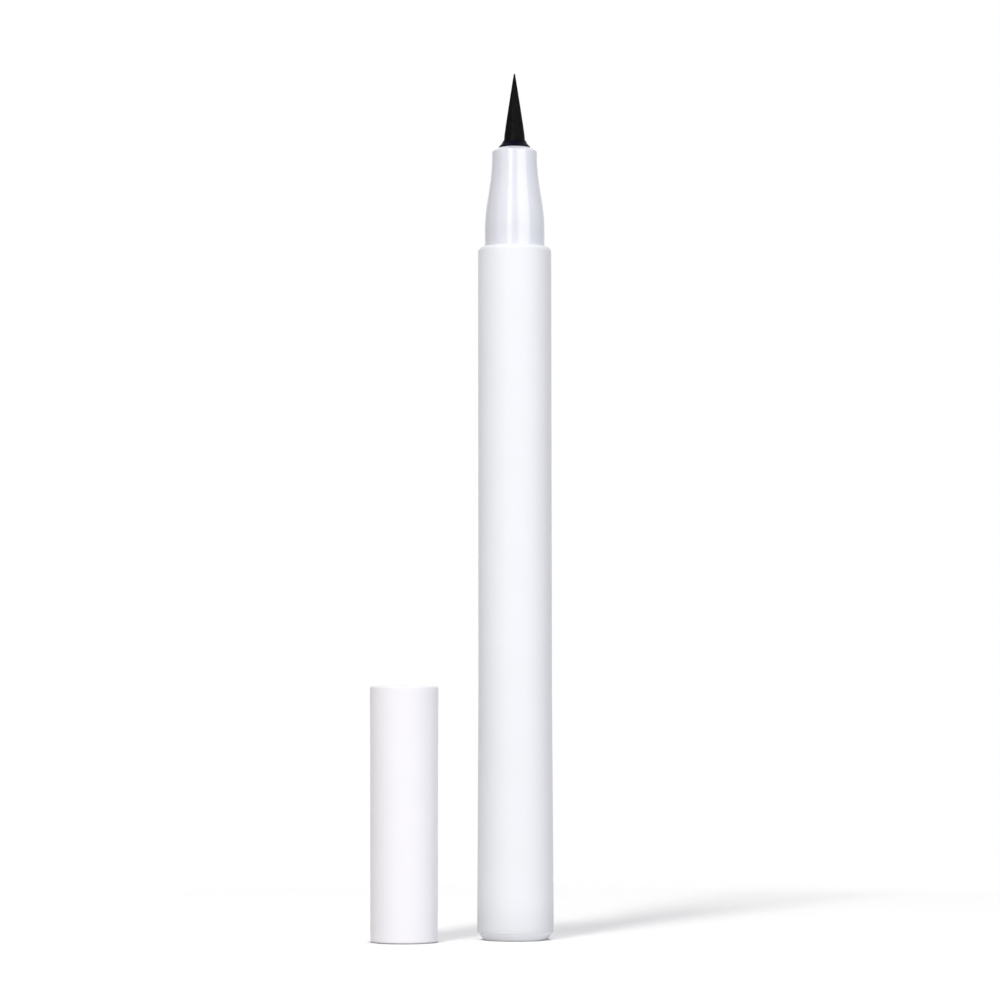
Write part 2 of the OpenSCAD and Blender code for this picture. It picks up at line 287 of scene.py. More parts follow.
# %% Neck
SKIRT_R = 4.10 * MM
SKIRT_BORE_R = 3.40 * MM
SEAT_LENGTH = 4.2 * MM
SEAT_ROUND = 1.6 * MM
CONE_LENGTH = 6 * MM
CONE_TOP_R = 3.38 * MM
CONE_ROUND = 0.9 * MM
TAPER_LENGTH = 2.1 * MM
NOSE_R = 3.235 * MM
NOSE_ROUND = 0.12 * MM
NOSE_BEVEL_H = 0.65 * MM
NOSE_RIM_R = 2.30 * MM
NOSE_RIM_DROP = 0.1 * MM
NECK_EDGE_ROUND = 0.01 * MM
HOLDER_BORE_R = 2.27 * MM
STEP_RISE = 0.8 * MM
SEAT_TOP = shoulder + SEAT_LENGTH
CONE_TOP = SEAT_TOP + CONE_LENGTH
NOSE_START = CONE_TOP + TAPER_LENGTH
INNER_STEP = SEAT_TOP + STEP_RISE
skirt_low, nose_top, seat_r = heights("neck")
nose_rim = nose_top - NOSE_RIM_DROP

neck = turned(
    "neck_section",
    [
        (SKIRT_R, skirt_low),
        (SKIRT_R, shoulder),
        (seat_r, shoulder),
        (seat_r, SEAT_TOP),
        (CONE_TOP_R, CONE_TOP),
        (NOSE_R, NOSE_START),
        (NOSE_R, nose_top - NOSE_BEVEL_H),
        (NOSE_RIM_R, nose_rim),
        (HOLDER_BORE_R, nose_rim),
        (HOLDER_BORE_R, INNER_STEP),
        (SKIRT_BORE_R, INNER_STEP),
        (SKIRT_BORE_R, skirt_low),
    ],
    PEN_AXIS,
    tube=True,
)
round_ring(neck, PEN_AXIS, (seat_r, SEAT_TOP), SEAT_ROUND, segments=8)
round_ring(neck, PEN_AXIS, (CONE_TOP_R, CONE_TOP), CONE_ROUND, segments=6)
round_ring(neck, PEN_AXIS, (NOSE_R, nose_top - NOSE_BEVEL_H), NOSE_ROUND, segments=4)
soften(neck, NECK_EDGE_ROUND)
settle(neck, "pen", "neck_plastic", "neck")

# %% [markdown]
# ## The brush holder
#
# A black sleeve holds the root of the brush. Only its collar shows, as a small skirt that
# flares out onto the nose. Its side is hollow: it runs out flat near the nose and rises steeply
# near the brush. A power of the share that is left gives such a line, so the rings follow one.

# %% Brush holder
HOLDER_R = 2.25 * MM
BRUSH_BORE_R = 1.63 * MM
LIP_R = 1.67 * MM
COLLAR_EDGE_H = 0.18 * MM
COLLAR_STEPS = 8
COLLAR_HOLLOW = 1.5
ROOT_BORE_R = 1.81 * MM
ROOT_DEPTH = 7.1 * MM
ROOT_TOP = nose_top - ROOT_DEPTH
HOLDER_EDGE_ROUND = 0.015 * MM
holder_low, collar_top, flange_r = heights("brush_holder")


def collar_ring(step):
    """One ring of the collar's hollow side, from the nose up to the lip."""
    share = step / COLLAR_STEPS
    rise = collar_top - nose_rim - COLLAR_EDGE_H
    radius = LIP_R + (HOLDER_R - LIP_R) * (1 - share) ** COLLAR_HOLLOW
    return radius, nose_rim + COLLAR_EDGE_H + rise * share


holder = turned(
    "brush_holder_sleeve",
    [
        (flange_r, holder_low),
        (flange_r, INNER_STEP),
        (HOLDER_R, INNER_STEP),
        *[collar_ring(step) for step in range(COLLAR_STEPS + 1)],
        (BRUSH_BORE_R, collar_top),
        (BRUSH_BORE_R, ROOT_TOP),
        (ROOT_BORE_R, ROOT_TOP),
        (ROOT_BORE_R, holder_low),
    ],
    PEN_AXIS,
    tube=True,
)
soften(holder, HOLDER_EDGE_ROUND)
settle(holder, "pen", "black_plastic", "brush_holder")

# %% [markdown]
# ## The brush
#
# The brush is a bundle of fine tapered bristles, welded together at the root. They lean
# towards one point, and the bundle ends in a very fine tip. Particle hair would be one way to
# make it, but hair gives no mesh. Here one bristle is modelled from a cone with five sides,
# and copies of it are stood on a sunflower pattern, which spreads points evenly over a disc.
# Each copy leans to the tip, and a turned core fills the middle, so no light passes through.
#
# The bundle's outline is a straight taper with a slight belly low down. One share says how much
# of the width is gone at the tip. The other is the height of an arch that is laid on top, and
# the square root moves the middle of that arch down towards the foot.

# %% Core of the brush
BRUSH_R = 1.58 * MM
CORE_SHARE = 0.98
CORE_RING_SHARES = (0.12, 0.25, 0.4, 0.6, 0.8, 0.97)
CORE_EDGE_ROUND = 0.02 * MM
LEAN_SHARE = 0.947
BELLY_SHARE = 0.043
ROOT_FLANGE_R = 1.76 * MM
BRISTLE_SINK = 0.15 * MM
BRISTLE_START = collar_top - BRISTLE_SINK
brush_low, brush_tip, _ = heights("brush")
bristle_l = brush_tip - BRISTLE_START


def bundle(up):
    """How wide the bundle is at a share of its length, as a share of its width at the foot."""
    return 1 - LEAN_SHARE * up + BELLY_SHARE * math.sin(math.pi * math.sqrt(up))


core_r = BRUSH_R * CORE_SHARE
core = turned(
    "brush_core",
    [
        (ROOT_FLANGE_R, brush_low),
        (ROOT_FLANGE_R, ROOT_TOP),
        (BRUSH_R, ROOT_TOP),
        (BRUSH_R, BRISTLE_START),
        (core_r, BRISTLE_START),
        *[(core_r * bundle(up), BRISTLE_START + bristle_l * up) for up in CORE_RING_SHARES],
    ],
    PEN_AXIS,
)
soften(core, CORE_EDGE_ROUND)
settle(core, "pen", "black_bristle", "brush")

# %% [markdown]
# One bristle is a slim cone with a blunt end. It is cut into four stretches, so that a copy of
# it has rings to bend at.

# %% One bristle
BRISTLE_SIDES = 5
BRISTLE_R = 0.07 * MM
BRISTLE_END_R = 0.02 * MM
BRISTLE_CUT_SHARES = (0.25, 0.5, 0.75)
bpy.ops.object.select_all(action="DESELECT")
bpy.ops.mesh.primitive_cone_add(
    vertices=BRISTLE_SIDES,
    radius1=BRISTLE_R,
    radius2=BRISTLE_END_R,
    depth=bristle_l,
    location=(0, 0, bristle_l / 2),
)
bristle = bpy.context.object
bristle.name = "brush_bristles"
bpy.ops.object.transform_apply(location=True, rotation=True, scale=True)
bpy.ops.object.mode_set(mode="EDIT")
for share in BRISTLE_CUT_SHARES:
    bpy.ops.mesh.select_all(action="SELECT")
    bpy.ops.mesh.bisect(plane_co=(0, 0, bristle_l * share), plane_no=(0, 0, 1))
bpy.ops.object.mode_set(mode="OBJECT")
bpy.ops.object.shade_smooth()
print("one bristle has", len(bristle.data.polygons), "faces")

# %% [markdown]
# A real bristle isn't quite straight, and no two end at the same height. So each copy bows a
# little to one side between its foot and its tip, and is cut to its own length. The draws come
# from a seeded generator, so the brush comes out the same each time.

# %% All bristles
BRISTLES = 640
GOLDEN_ANGLE = math.pi * (3 - math.sqrt(5))
BOW = 0.012 * MM
SHORTEST_SHARE = 0.86
SEED = 12
draw = random.Random(SEED)


def bristle_copy(number):
    """A copy of the bristle that stands on its place of the sunflower and leans to the tip."""
    share = math.sqrt((number + 0.5) / BRISTLES)
    turn = number * GOLDEN_ANGLE
    foot = Vector((math.cos(turn), math.sin(turn), 0)) * (BRUSH_R - BRISTLE_R) * share
    length = 1 - (1 - SHORTEST_SHARE) * draw.random() ** 2 * share
    bow_turn = draw.random() * 2 * math.pi
    bow = Vector((math.cos(bow_turn), math.sin(bow_turn), 0)) * BOW
    mesh = bristle.data.copy()
    for vertex in mesh.vertices:
        up = vertex.co.z / bristle_l
        middle = foot * bundle(up * length) + bow * math.sin(math.pi * up)
        height = BRISTLE_START + up * length * bristle_l
        vertex.co = (middle.x + vertex.co.x, middle.y + vertex.co.y, height)
    copy = bpy.data.objects.new("bristle", mesh)
    bpy.context.scene.collection.objects.link(copy)
    return copy


copies = [bristle_copy(number) for number in range(BRISTLES)]
bpy.data.objects.remove(bristle)
bpy.ops.object.select_all(action="DESELECT")
for copy in copies:
    copy.select_set(True)
bpy.context.view_layer.objects.active = copies[0]
bpy.ops.object.join()
bristles = bpy.context.object
bristles.name = "brush_bristles"
bristles.data.name = "brush_bristles"
settle(bristles, "pen", "black_bristle", "brush")

# %% [markdown]
# ## The cap
#
# The cap is a thin satin tube with a closed end. It stands on its mouth. It is a little wider
# at its closed end, and a small bead inside keeps the inner cap from falling out. It is turned
# as one solid piece from the closed end down the outside, round the mouth and up the inside,
# and ends at the peg that centres the spring. The bead's top has a little play to the inner
# cap, because two faces in one plane would count as cutting through each other.

# %% Cap shell
CAP_MOUTH_R = 4.755 * MM
CAP_WAIST_R = 4.79 * MM
CAP_WAIST = 27 * MM
CAP_BORE_R = 4.35 * MM
CAP_BORE_DEPTH = 5.8 * MM
GUIDE_R = 4.15 * MM
STOP_BEAD_R = 3.97 * MM
STOP_BEAD_H = 0.4 * MM
STOP_BEAD_PLAY = 0.02 * MM
CAP_END_T = 0.9 * MM
CAP_ROUND = 0.35 * MM
MOUTH_ROUND = 0.3 * MM
PEG_R = 1.8 * MM
PEG_LENGTH = 3.24 * MM
rim, inner_cap_high, inner_flange_r = heights("inner_cap")
cap_mouth, cap_end, cap_top_r = heights("cap_shell")
cap_ceiling = cap_end - CAP_END_T

cap = turned(
    "cap_outer_shell",
    [
        (cap_top_r, cap_end),
        (CAP_WAIST_R, CAP_WAIST),
        (CAP_MOUTH_R, cap_mouth),
        (CAP_BORE_R, cap_mouth),
        (CAP_BORE_R, CAP_BORE_DEPTH),
        (GUIDE_R, CAP_BORE_DEPTH),
        (GUIDE_R, rim - 2 * STOP_BEAD_H),
        (STOP_BEAD_R, rim - STOP_BEAD_H),
        (STOP_BEAD_R, rim - STOP_BEAD_PLAY),
        (GUIDE_R, rim - STOP_BEAD_PLAY),
        (GUIDE_R, cap_ceiling),
        (PEG_R, cap_ceiling),
        (PEG_R, cap_ceiling - PEG_LENGTH),
    ],
    CAP_AXIS,
)
round_ring(cap, CAP_AXIS, (cap_top_r, cap_end), CAP_ROUND, segments=8)
round_ring(cap, CAP_AXIS, (CAP_MOUTH_R, cap_mouth), MOUTH_ROUND, segments=5)
soften(cap)
settle(cap, "cap", "cap_plastic", "cap_shell")

# %% [markdown]
# A white cap so close to the pen throws light back onto it and shows in its shine. The
# photograph has neither of the two. A card between them would be one way, but its edge could
# show. So rays of scattered and mirrored light pass the cap by. The camera still sees it, and
# it still throws its shadow.

# %% Rays that pass the cap by
cap.visible_diffuse = False
cap.visible_glossy = False
print("scattered light meets the cap:", cap.visible_diffuse)

# %% [markdown]
# ## The inner cap and its spring
#
# The inner cap closes round the nose, so the ink can't dry. It is a stepped cup: wide where it
# takes the nose, and narrower round the brush. Its flange guides it in the cap.

# %% Inner cap
CUP_WALL = 0.6 * MM
SEAL_R = 3.40 * MM
SEAL_LENGTH = 3.2 * MM
CHAMBER_R = 3.035 * MM
CHAMBER_TOP = 26 * MM
RIM_FLANGE_T = 1.2 * MM
seal_top = rim + SEAL_LENGTH
cup_top = CHAMBER_TOP + CUP_WALL

inner_cap = turned(
    "inner_cap_cup",
    [
        (PEG_R, inner_cap_high),
        (PEG_R, cup_top),
        (CHAMBER_R + CUP_WALL, cup_top),
        (CHAMBER_R + CUP_WALL, seal_top + CUP_WALL),
        (SEAL_R + CUP_WALL, seal_top + CUP_WALL),
        (SEAL_R + CUP_WALL, rim + RIM_FLANGE_T),
        (inner_flange_r, rim + RIM_FLANGE_T),
        (inner_flange_r, rim),
        (SEAL_R, rim),
        (SEAL_R, seal_top),
        (CHAMBER_R, seal_top),
        (CHAMBER_R, CHAMBER_TOP),
    ],
    CAP_AXIS,
)
soften(inner_cap)
settle(inner_cap, "inner_cap", "inner_cap_plastic", "inner_cap")

# %% [markdown]
# A spring behind the inner cap lets it give way. Its wire follows a helix whose end turns lie
# close, as a wound spring's do, so its line is a formula, and a curve with a round section
# sweeps it.

# %% Spring
SPRING_R = 2.2 * MM
WIRE_R = 0.2 * MM
WIRE_ROUNDNESS = 3
SPRING_TURNS = 7
CLOSE_TURNS = 0.75
POINTS_PER_TURN = 32
spring_low, spring_high, _ = heights("inner_cap_spring")
first_z = spring_low + WIRE_R
last_z = spring_high - WIRE_R


def spring_height(turn):
    """The height of the wire's middle after so many turns: both ends lie closed."""
    climb = (last_z - first_z - 4 * CLOSE_TURNS * WIRE_R) / (SPRING_TURNS - 2 * CLOSE_TURNS)
    below = min(turn, CLOSE_TURNS)
    above = max(turn - (SPRING_TURNS - CLOSE_TURNS), 0)
    return first_z + 2 * WIRE_R * (below + above) + climb * (turn - below - above)


line = bpy.data.curves.new("spring_wire", "CURVE")
line.dimensions = "3D"
line.bevel_depth = WIRE_R
line.bevel_resolution = WIRE_ROUNDNESS
line.use_fill_caps = True
wire = line.splines.new("POLY")
wire.points.add(SPRING_TURNS * POINTS_PER_TURN)
for number, point in enumerate(wire.points):
    turn = number / POINTS_PER_TURN
    angle = 2 * math.pi * turn
    x = CAP_AXIS.x + SPRING_R * math.cos(angle)
    y = CAP_AXIS.y + SPRING_R * math.sin(angle)
    point.co = (x, y, spring_height(turn), 1)
spring = bpy.data.objects.new("spring_wire", line)
bpy.context.scene.collection.objects.link(spring)
bpy.ops.object.select_all(action="DESELECT")
spring.select_set(True)
bpy.context.view_layer.objects.active = spring
bpy.ops.object.convert(target="MESH")
bpy.ops.object.shade_smooth()
settle(spring, "cap", "spring_steel", "inner_cap_spring")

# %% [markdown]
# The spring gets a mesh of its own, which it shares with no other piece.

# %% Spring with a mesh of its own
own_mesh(spring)

# %% [markdown]
# ## Finishes
#
# A finish is built in layers on one Principled shader. The first layer lets the colour drift a
# little, the second does the same for roughness, and the third is a fine bump. All three are
# noise on object coordinates, so they stay on the piece when it moves. Their scales are
# given as the size of one speck in millimetres. Numbers that are the same all over the piece,
# such as the specular level, are set on the shader's own socket.

# %% Layers of a finish
# Noise runs from 0 to 1, but most of it lies between these values.
COLOUR_SPREAD = (0.35, 0.65)
ROUGHNESS_SPREAD = (0.3, 0.7)


class Finish:
    """A material with its shader, and the coordinates that all its patterns read."""

    def __init__(self, name, **settings):
        """Each setting names a socket of the shader, with _ for a space."""
        self.material = bpy.data.materials.new(name)
        self.material.use_nodes = True
        self.nodes = self.material.node_tree.nodes
        self.links = self.material.node_tree.links
        self.shader = self.nodes["Principled BSDF"]
        self.place = self.nodes.new("ShaderNodeTexCoord").outputs["Object"]
        for socket, value in settings.items():
            self.shader.inputs[socket.replace("_", " ")].default_value = value

    def noise(self, speck, detail=3, stretch=(1, 1, 1)):
        """Noise whose specks are about so many millimetres wide."""
        mapping = self.nodes.new("ShaderNodeMapping")
        mapping.inputs["Scale"].default_value = stretch
        noise = self.nodes.new("ShaderNodeTexNoise")
        noise.inputs["Scale"].default_value = 1 / (speck * MM)
        noise.inputs["Detail"].default_value = detail
        self.links.new(self.place, mapping.inputs["Vector"])
        self.links.new(mapping.outputs["Vector"], noise.inputs["Vector"])
        return noise.outputs["Fac"]

    def drifting_colour(self, first, second, speck, **pattern):
        """The base colour drifts between two close colours."""
        ramp = self.nodes.new("ShaderNodeValToRGB")
        stops = ramp.color_ramp.elements
        for stop, position, colour in zip(stops, COLOUR_SPREAD, (first, second)):
            stop.position = position
            stop.color = (*colour, 1)
        self.links.new(self.noise(speck, **pattern), ramp.inputs["Fac"])
        self.links.new(ramp.outputs["Color"], self.shader.inputs["Base Color"])

    def painted_shade_by_height(self, shade, start, end):
        """Paints shade into the base colour: darkens it by a share, from one height (in mm) to
        another.
        """
        colour = self.shader.inputs["Base Color"].links[0].from_socket
        parts = self.nodes.new("ShaderNodeSeparateXYZ")
        self.links.new(self.place, parts.inputs[0])
        strength = self.nodes.new("ShaderNodeMapRange")
        strength.interpolation_type = "SMOOTHSTEP"
        strength.inputs["From Min"].default_value = start * MM
        strength.inputs["From Max"].default_value = end * MM
        self.links.new(parts.outputs["Z"], strength.inputs["Value"])
        mix = self.nodes.new("ShaderNodeMixRGB")
        mix.blend_type = "MULTIPLY"
        mix.inputs["Color2"].default_value = (1 - shade, 1 - shade, 1 - shade, 1)
        self.links.new(strength.outputs["Result"], mix.inputs["Fac"])
        self.links.new(colour, mix.inputs["Color1"])
        self.links.new(mix.outputs["Color"], self.shader.inputs["Base Color"])

    def drifting_roughness(self, low, high, speck, **pattern):
        """The roughness drifts between two values."""
        spread = self.nodes.new("ShaderNodeMapRange")
        spread.inputs["From Min"].default_value = ROUGHNESS_SPREAD[0]
        spread.inputs["From Max"].default_value = ROUGHNESS_SPREAD[1]
        spread.inputs["To Min"].default_value = low
        spread.inputs["To Max"].default_value = high
        self.links.new(self.noise(speck, **pattern), spread.inputs["Value"])
        self.links.new(spread.outputs["Result"], self.shader.inputs["Roughness"])

    def bumps(self, *layers):
        """Fine bumps: each layer is (speck in mm, depth in mm, strength)."""
        last = None
        for speck, depth, strength in layers:
            bump = self.nodes.new("ShaderNodeBump")
            bump.inputs["Distance"].default_value = depth * MM
            bump.inputs["Strength"].default_value = strength
            self.links.new(self.noise(speck), bump.inputs["Height"])
            if last:
                self.links.new(last.outputs["Normal"], bump.inputs["Normal"])
            last = bump
        self.links.new(last.outputs["Normal"], self.shader.inputs["Normal"])


def dress(finish, *pieces):
    """Puts a finish on pieces, in place of what they wore."""
    for piece in pieces:
        if piece.material_slots:
            for material_slot in piece.material_slots:
                material_slot.material = finish.material
        else:
            piece.data.materials.append(finish.material)
    print(finish.material.name, "on", [piece.name for piece in pieces])


# %% [markdown]
# ## White plastics
#
# The barrel and its foot are satin, moulded in a finely blasted tool. The photograph shows the
# barrel's rear end slightly greyer near the floor, where less light reaches it, so that shade is
# painted into its colour by its height. The foot's bevel faces the floor and gets little light.
# A paler white of its own is painted light that brings it up to what the photograph shows, and
# goes over into the barrel's painted grey at the foot's upright edge.

# %% Satin barrel and foot
satin = Finish("barrel satin white", Specular_IOR_Level=0.3)
satin.drifting_colour((0.825, 0.835, 0.855), (0.845, 0.85, 0.875), speck=9)
satin.drifting_roughness(0.40, 0.50, speck=2.5)
satin.bumps((4, 0.02, 0.15), (0.12, 0.004, 0.25))
# painted shade: the barrel's colour darkens towards the floor, where less light reaches it
satin.painted_shade_by_height(shade=0.11, start=6.8, end=1.0)
dress(satin, barrel)

# painted light: the foot's white is paler than the barrel's because its bevel faces the floor
foot_white = Finish("foot satin white", Specular_IOR_Level=0.3)
foot_white.drifting_colour((0.90, 0.905, 0.925), (0.92, 0.925, 0.945), speck=5)
foot_white.drifting_roughness(0.40, 0.50, speck=2.5)
foot_white.bumps((3, 0.02, 0.15), (0.12, 0.004, 0.25))
# painted shade: the foot's upright edge is darkened to the barrel's painted grey
foot_white.painted_shade_by_height(shade=0.18, start=1.08, end=1.24)
dress(foot_white, plug)

# %% [markdown]
# The cap is the same plastic as the barrel with a slightly warmer shade. Its white is also
# painted lighter than the barrel's, as painted light that lifts the cap's tone. The neck is
# glossy, which makes the two front softboxes show in it as upright bands, so its roughness is
# low and it has hardly any bump. All whites stay a little below full white, so that light and
# shade still have room.

# %% Satin cap and glossy neck
cap_white = Finish("cap satin white", Specular_IOR_Level=0.25)
# a warmer tint, and a lighter white that is partly painted light
cap_white.drifting_colour((0.885, 0.868, 0.893), (0.90, 0.883, 0.908), speck=7)
cap_white.drifting_roughness(0.42, 0.52, speck=2)
cap_white.bumps((3.5, 0.02, 0.15), (0.12, 0.004, 0.25))
dress(cap_white, cap)

gloss = Finish("neck gloss white", Specular_IOR_Level=0.85)
gloss.drifting_colour((0.705, 0.712, 0.765), (0.725, 0.732, 0.785), speck=3)
gloss.drifting_roughness(0.17, 0.21, speck=6)
gloss.bumps((5, 0.012, 0.1))
dress(gloss, neck)

# %% [markdown]
# ## Blacks, and the pieces inside
#
# The collar is a smooth black plastic. The bristles are dark with ink, with streaks along
# their length, which stretched noise gives. Both look nearly flat in the photograph, so their
# shine is turned far down.

# %% Black plastic and bristles
black = Finish("collar black", Specular_IOR_Level=0.03)
black.drifting_colour((0.002, 0.002, 0.006), (0.003, 0.003, 0.010), speck=0.6)
black.drifting_roughness(0.22, 0.34, speck=0.4)
black.bumps((0.3, 0.003, 0.15))
dress(black, holder)

hair = Finish("inked bristle black", Specular_IOR_Level=0.04)
hair.drifting_colour(
    (0.001, 0.001, 0.001), (0.006, 0.006, 0.0055), speck=0.08, stretch=(1, 1, 0.04)
)
hair.drifting_roughness(0.38, 0.6, speck=0.2, stretch=(1, 1, 0.1))
hair.bumps((0.05, 0.002, 0.2))
dress(hair, core, bristles)

# %% [markdown]
# The pieces inside get a finish as well, because they show when the cap is lifted or the pen is
# taken apart. The ball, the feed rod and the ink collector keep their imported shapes, which are
# right as they are.

# %% Inner pieces
cup_white = Finish("inner cap white", Specular_IOR_Level=0.45)
cup_white.drifting_colour((0.80, 0.80, 0.82), (0.84, 0.84, 0.86), speck=4)
cup_white.drifting_roughness(0.35, 0.45, speck=1.5)
cup_white.bumps((0.4, 0.004, 0.15))
dress(cup_white, inner_cap)

steel = Finish("spring steel", Metallic=1.0)
steel.drifting_colour((0.52, 0.52, 0.53), (0.62, 0.62, 0.63), speck=0.5)
steel.drifting_roughness(0.22, 0.36, speck=0.3)
steel.bumps((0.08, 0.002, 0.2))
dress(steel, spring)

ball_steel = Finish("ball steel", Metallic=1.0)
ball_steel.drifting_colour((0.68, 0.68, 0.69), (0.76, 0.76, 0.77), speck=1.2)
ball_steel.drifting_roughness(0.08, 0.16, speck=0.6)
ball_steel.bumps((0.3, 0.001, 0.1))
dress(ball_steel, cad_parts["mixing_ball"])

fibre = Finish("inked feed fibre", Specular_IOR_Level=0.2)
fibre.drifting_colour((0.02, 0.02, 0.022), (0.06, 0.06, 0.065), speck=0.1, stretch=(1, 1, 0.05))
fibre.drifting_roughness(0.7, 0.9, speck=0.2, stretch=(1, 1, 0.05))
fibre.bumps((0.06, 0.01, 0.5))
dress(fibre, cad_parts["feed_rod"])

fins = Finish("collector white", Specular_IOR_Level=0.4)
fins.drifting_colour((0.74, 0.74, 0.75), (0.80, 0.80, 0.80), speck=2)
fins.drifting_roughness(0.4, 0.55, speck=1)
fins.bumps((0.3, 0.004, 0.2))
dress(fins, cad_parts["ink_collector"])

# %% [markdown]
# ## Camera
#
# The photograph was taken from low down and fairly close. That place was worked out from the
# picture: the cap's top is seen edge on, which gives the eye's height, and the pen's height in
# the picture gives the lens. The camera looks slightly up, and a very small roll turns the
# picture the way the photograph is turned.

# %% Camera
EYE = Vector((-2.17 * MM, -525 * MM, 34 * MM))
TILT_UP = math.radians(3.115)
ROLL = math.radians(0.06)
LENS = 132.3
SENSOR = 36
NEAREST_SEEN = 10 * MM
FARTHEST_SEEN = 20
view = bpy.data.cameras.new("camera")
view.lens = LENS
view.sensor_width = SENSOR
view.clip_start = NEAREST_SEEN
view.clip_end = FARTHEST_SEEN
camera = bpy.data.objects.new("camera", view)
camera.location = EYE
camera.rotation_euler = (math.pi / 2 + TILT_UP, ROLL, 0)
bpy.context.scene.collection.objects.link(camera)
bpy.context.scene.camera = camera
print("camera at", [round(v / MM, 1) for v in EYE], "mm with a", LENS, "mm lens")

# %% [markdown]
# ## Lamps
#
# All lamps are area lamps that look at the middle of the pen from a direction and a distance.
# Their brightness is given as the brightness of the lamp's face, because that is what a
# reflection shows, and the power follows from its area.

# %% A lamp on its stand
AIM = Vector((0, 0, 60 * MM))


def lamp(name, azimuth, elevation, distance, size, brightness, colour):
    """An area lamp that looks at the pen, with angles in degrees and sizes in metres.

    Its azimuth counts from the camera to the right.
    """
    turn = math.radians(azimuth)
    rise = math.radians(elevation)
    away = Vector(
        (math.sin(turn) * math.cos(rise), -math.cos(turn) * math.cos(rise), math.sin(rise))
    )
    light = bpy.data.lights.new(name, "AREA")
    light.shape = "RECTANGLE"
    light.size, light.size_y = size
    light.energy = brightness * math.pi * light.size * light.size_y
    light.color = colour
    stand = bpy.data.objects.new(name, light)
    stand.location = AIM + away * distance
    stand.rotation_euler = away.to_track_quat("Z", "Y").to_euler()
    stand.visible_camera = False
    bpy.context.scene.collection.objects.link(stand)
    print(name, "gives", round(light.energy, 2), "W")
    return stand


# %% [markdown]
# Two softboxes stand in front, one on each side of the camera. They light the white plastic
# gently and show as the two bands in the glossy neck. A third one lights the back, which would
# be dull grey without it, and stays out of the reflections. A small lamp on the left, higher
# up, is the key light of the pen and the cap. Another one close to it is for the floor, where
# it throws the one clear shadow to the right. Which lamp lights what is settled further down.

# %% Softboxes, key lamp and floor lamp
NEUTRAL = (1.0, 1.0, 0.99)
WARM = (1.0, 0.995, 0.975)
COOL = (0.96, 0.97, 1.0)
COOLER = (0.925, 0.945, 1.0)

left_box = lamp("left softbox", -20, 17, 2.0, (0.62, 0.75), 2.8, NEUTRAL)
right_box = lamp("right softbox", 37.5, 20, 2.0, (1.65, 1.30), 2.5, COOLER)
back_box = lamp("back softbox", 180, 20, 1.6, (1.0, 1.2), 4.2, COOL)
back_box.visible_glossy = False
key_lamp = lamp("key lamp", -24.8, 43.3, 2.2, (0.44, 0.44), 40, WARM)
floor_lamp = lamp("floor lamp", -22.3, 38.3, 2.2, (0.38, 0.38), 59, WARM)

# %% [markdown]
# ## A grey flag
#
# The photograph's plastic is darker at its left side than at its right. A studio gets that with
# a flag, a grey card that stands beside the object. Here only reflections see the flag, so it
# takes the shine from the left sides and leaves the light on the floor alone.

# %% Flag
FLAG_AZIMUTH = math.radians(-110)
FLAG_DISTANCE = 1.0
FLAG_SIZE = 1.5
FLAG_GREY = 0.42

bpy.ops.object.select_all(action="DESELECT")
bpy.ops.mesh.primitive_plane_add(
    size=FLAG_SIZE,
    location=(
        math.sin(FLAG_AZIMUTH) * FLAG_DISTANCE,
        -math.cos(FLAG_AZIMUTH) * FLAG_DISTANCE,
        FLAG_SIZE / 2,
    ),
    rotation=(math.pi / 2, 0, FLAG_AZIMUTH),
)
flag = bpy.context.object
flag.name = "grey_flag"
card = bpy.data.materials.new("flag grey")
card.use_nodes = True
flag.data.materials.append(card)
card.node_tree.nodes.remove(card.node_tree.nodes["Principled BSDF"])
card_glow = card.node_tree.nodes.new("ShaderNodeEmission")
card_glow.inputs["Strength"].default_value = FLAG_GREY
card.node_tree.links.new(
    card_glow.outputs[0], card.node_tree.nodes["Material Output"].inputs["Surface"]
)
flag.visible_camera = False
flag.visible_diffuse = False
flag.visible_transmission = False
flag.visible_shadow = False
print("the flag stands at", [round(v, 2) for v in flag.location], "m")

# %% [markdown]
# ## Surroundings
#
# The background is white for the camera, and for reflections too. Scattered light sees a
# middle grey instead, which keeps the sides of the white pen darker than the background, as in
# the photograph. The light path node tells the two kinds of ray apart.

# %% World
SIDE_LIGHT = (0.288, 0.288, 0.299, 1)


def seen_directly(nodes, links):
    """A factor of 1 for camera, glossy and transmission rays, and 0 for scattered light."""
    path = nodes.new("ShaderNodeLightPath")
    glossy = nodes.new("ShaderNodeMath")
    glossy.operation = "MAXIMUM"
    either = nodes.new("ShaderNodeMath")
    either.operation = "MAXIMUM"
    links.new(path.outputs["Is Glossy Ray"], glossy.inputs[0])
    links.new(path.outputs["Is Transmission Ray"], glossy.inputs[1])
    links.new(path.outputs["Is Camera Ray"], either.inputs[0])
    links.new(glossy.outputs[0], either.inputs[1])
    return either.outputs[0]


world = bpy.data.worlds.new("studio")
bpy.context.scene.world = world
world.use_nodes = True
nodes, links = world.node_tree.nodes, world.node_tree.links
grey = nodes["Background"]
grey.inputs["Color"].default_value = SIDE_LIGHT
white = nodes.new("ShaderNodeBackground")
white.inputs["Color"].default_value = (1, 1, 1, 1)
mixed = nodes.new("ShaderNodeMixShader")
links.new(seen_directly(nodes, links), mixed.inputs["Fac"])
links.new(grey.outputs[0], mixed.inputs[1])
links.new(white.outputs[0], mixed.inputs[2])
links.new(mixed.outputs[0], nodes["World Output"].inputs["Surface"])
print("side light", SIDE_LIGHT[:3])

# %% [markdown]
# ## Floor
#
# The floor has to look white and still hold a soft shadow. Its material is put together in
# small steps. First comes a plain sheet, far wider than the view.

# %% Floor sheet
FLOOR_SIZE = 12

